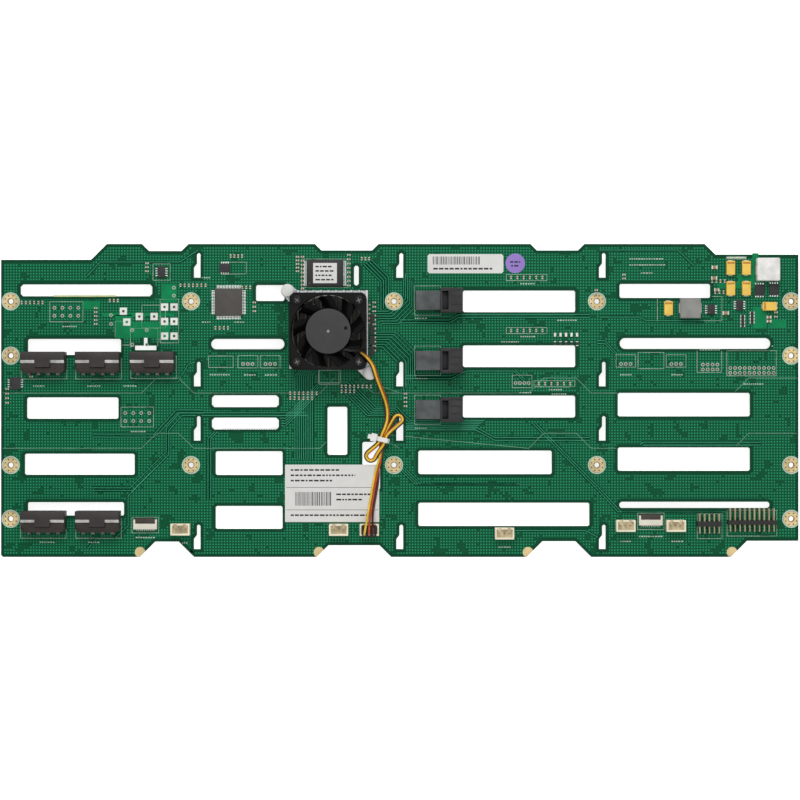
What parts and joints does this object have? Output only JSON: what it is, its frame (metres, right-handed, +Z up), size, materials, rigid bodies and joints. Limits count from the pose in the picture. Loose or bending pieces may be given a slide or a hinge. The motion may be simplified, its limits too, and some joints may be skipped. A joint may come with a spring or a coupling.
{
  "type": "drive backplane board",
  "caption": "Long flat circuit board with cooling windows, drive sockets underneath, power and data connectors on top, and a small fan-cooled chip with a tied fan lead.",
  "frame": {"origin": "on the floor, below the centre of the board's outline", "axes": "+X along the board towards its pin headers, +Y across it towards the long edge by the power parts, +Z up, away from the drive sockets"},
  "size_m": [0.4198, 0.1648, 0.0319],
  "materials": {
    "board": "green solder mask, satin",
    "drive_socket": "black moulded",
    "power_socket": "black moulded",
    "contact": "gold-plated",
    "power_contact": "tin-plated",
    "data_port": "dark grey moulded",
    "header": "cream nylon",
    "pin_header": "black moulded",
    "ribbon_socket": "cream moulded",
    "ribbon_latch": "dark brown moulded",
    "chip": "moulded epoxy, matt",
    "heatsink": "plain anodised",
    "nylon": "white nylon",
    "fan": "black moulded, glossy",
    "shaft": "ground steel",
    "ferrite_dark": "bonded ferrite",
    "copper": "enamelled copper wire",
    "screw": "black oxide",
    "wire_yellow": "yellow insulation",
    "wire_red": "red insulation",
    "wire_black": "black insulation",
    "tie": "white nylon",
    "ferrite": "pale grey moulded",
    "tantalum": "orange-yellow moulded",
    "ceramic": "fired ceramic",
    "paper": "printed paper",
    "purple_paper": "purple paper"
  },
  "bodies": {
    "board_assembly": {"board": "board", "drive_sockets_1": "drive_socket", "drive_sockets_2": "drive_socket", "drive_sockets_3": "drive_socket", "drive_sockets_4": "drive_socket", "power_socket_1": "power_socket", "power_socket_2": "power_socket", "power_socket_3": "power_socket", "power_socket_4": "power_socket", "power_socket_5": "power_socket", "power_pins": "power_contact", "data_port_1": "data_port", "data_port_2": "data_port", "data_port_3": "data_port", "fan_header_1": "header", "fan_header_2": "header", "fan_header_3": "header", "fan_header_4": "header", "fan_header_5": "header", "fan_header_6": "header", "led_header": "pin_header", "switch_header": "pin_header", "header_pins": "contact", "ribbon_socket_1": "ribbon_socket", "ribbon_socket_2": "ribbon_socket", "expander_chip": "chip", "heatsink": "heatsink", "push_pins": "nylon", "fan_frame": "fan", "fan_screws": "screw", "fan_coils": "copper", "fan_wire_yellow": "wire_yellow", "fan_wire_red": "wire_red", "fan_wire_black": "wire_black", "fan_plug": "pin_header", "cable_tie": "tie", "flash_chip": "chip", "controller_chip": "chip", "small_chips": "chip", "power_transistors": "chip", "large_inductor": "ferrite", "small_inductor": "ferrite", "tantalum_capacitors": "tantalum", "ceramic_capacitors": "ceramic", "chip_resistors": "chip", "resistor_packs": "ceramic", "power_lights": "ceramic", "product_sticker": "paper", "serial_sticker": "paper", "round_sticker": "purple_paper", "chip_sticker": "paper"},
    "fan_rotor": {"fan_impeller": "fan", "fan_shaft": "shaft", "fan_magnet": "ferrite_dark"},
    "latch_1": {"ribbon_latch_1": "ribbon_latch"},
    "latch_2": {"ribbon_latch_2": "ribbon_latch"}
  },
  "joints": [
    {"name": "fan_spin", "type": "hinge", "parent": "board_assembly", "child": "fan_rotor", "pos_m": [-0.03715, 0.0359, 0.025], "axis": [0, 0, 1], "continuous": true},
    {"name": "latch_slide_1", "type": "slide", "parent": "board_assembly", "child": "latch_1", "axis": [0, 1, 0], "range_m": [0, 0.0012]},
    {"name": "latch_slide_2", "type": "slide", "parent": "board_assembly", "child": "latch_2", "axis": [0, 1, 0], "range_m": [0, 0.0012]}
  ]
}
